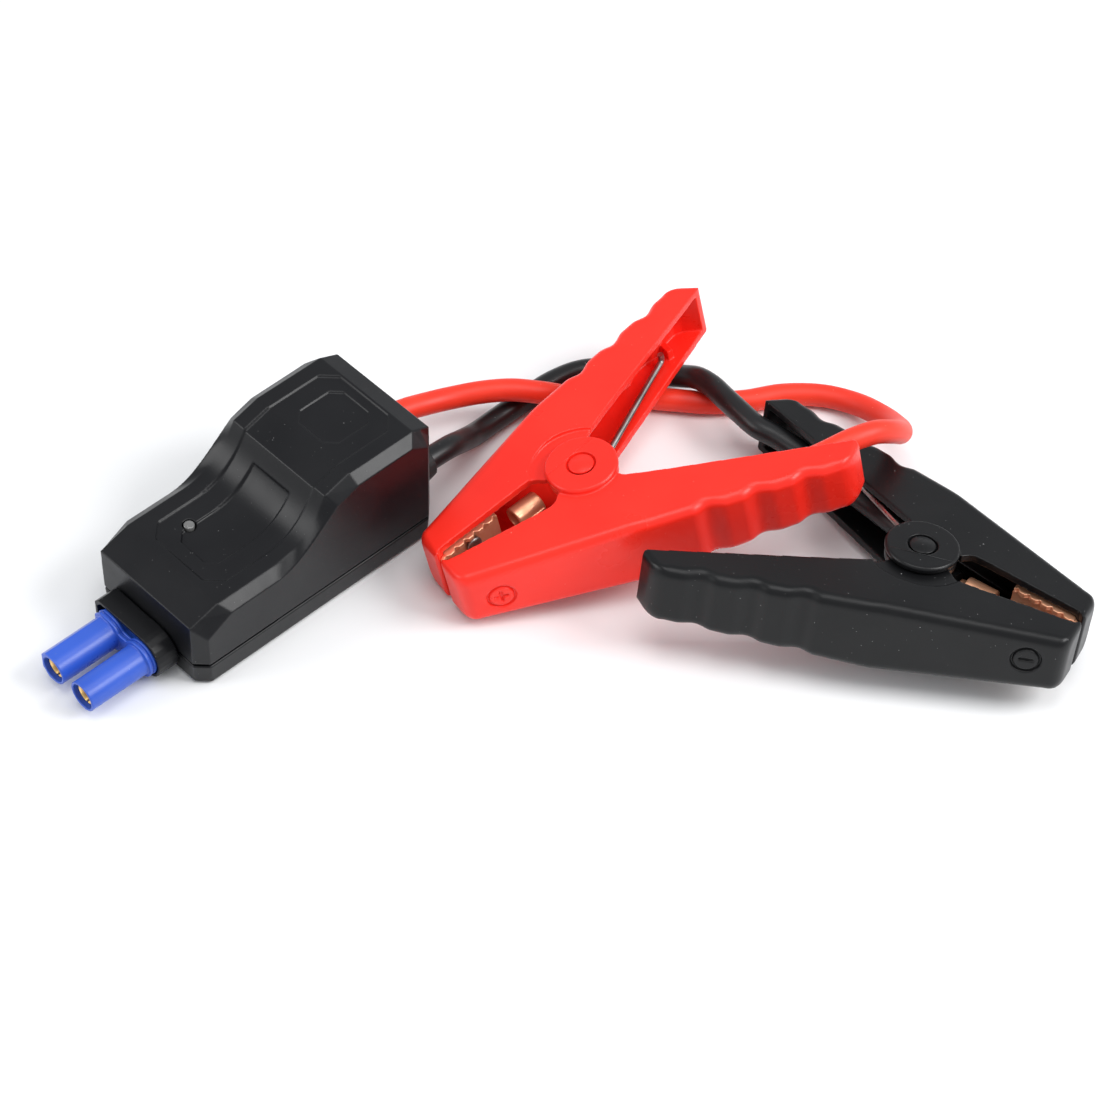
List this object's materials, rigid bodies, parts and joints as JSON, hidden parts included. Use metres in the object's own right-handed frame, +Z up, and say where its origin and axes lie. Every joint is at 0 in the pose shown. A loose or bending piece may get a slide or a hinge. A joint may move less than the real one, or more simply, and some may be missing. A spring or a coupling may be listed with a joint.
{
  "type": "jump leads with control box",
  "caption": "Smart jump leads: a twin-socket high-current connector on a small control box, with a red and a black cable to sprung copper-jawed clamps.",
  "frame": {"origin": "centre of the control box's base", "axes": "+X to the right along the row's longest extent, +Y away from the viewer, +Z up; the control box runs at 45.3 degrees from +X, its connector towards -X -Y"},
  "size_m": [0.2426, 0.1219, 0.0365],
  "materials": {
    "case_black": "semi-gloss moulded",
    "connector_blue": "semi-gloss moulded",
    "brass": "turned, gold plated",
    "board_green": "solder mask",
    "component_black": "moulded",
    "steel": "plated",
    "copper": "copper plated",
    "led_lens": "clear lens",
    "rubber_black": "moulded",
    "cable_red": "silicone jacket",
    "cable_black": "silicone jacket",
    "clamp_red": "semi-gloss moulded",
    "clamp_black": "semi-gloss moulded"
  },
  "bodies": {
    "base": {"upper_shell": "case_black", "lower_cover": "case_black", "connector_collar": "case_black", "connector_housing": "connector_blue", "socket_positive": "brass", "socket_negative": "brass", "circuit_board": "board_green", "power_relay": "component_black", "mosfet_1": "component_black", "mosfet_2": "component_black", "control_chip": "component_black", "capacitor": "steel", "busbar_positive": "copper", "busbar_negative": "copper", "status_led": "led_lens", "led_holder": "component_black", "red_grommet": "rubber_black", "black_grommet": "rubber_black", "red_lug": "copper", "black_lug": "copper", "red_cable": "cable_red", "black_cable": "cable_black", "cover_screw_1": "steel", "cover_screw_2": "steel", "cover_screw_3": "steel", "cover_screw_4": "steel", "red_grip_a": "clamp_red", "red_jaw_a": "copper", "red_rivet_a": "steel", "red_pivot_pin": "clamp_red", "red_spring": "steel", "red_conductor": "copper", "black_grip_a": "clamp_black", "black_jaw_a": "copper", "black_rivet_a": "steel", "black_pivot_pin": "clamp_black", "black_spring": "steel", "black_conductor": "copper"},
    "red_lever": {"red_grip_b": "clamp_red", "red_jaw_b": "copper", "red_rivet_b": "steel"},
    "black_lever": {"black_grip_b": "clamp_black", "black_jaw_b": "copper", "black_rivet_b": "steel"}
  },
  "joints": [
    {"name": "red_clamp_hinge", "type": "hinge", "parent": "base", "child": "red_lever", "pos_m": [0.0754, 0.0124, 0.01515], "axis": [0.2011, -0.0017, -0.9796], "range_deg": [0, 11.5], "stiffness_Nm_per_rad": 0.8, "springref_deg": -34.38, "deforming": ["red_spring"]},
    {"name": "black_clamp_hinge", "type": "hinge", "parent": "base", "child": "black_lever", "pos_m": [0.1521, -0.0105, 0.0145], "axis": [-0.0695, -0.1546, -0.9855], "range_deg": [0, 5.5], "stiffness_Nm_per_rad": 0.8, "springref_deg": -34.38, "deforming": ["black_spring"]}
  ]
}
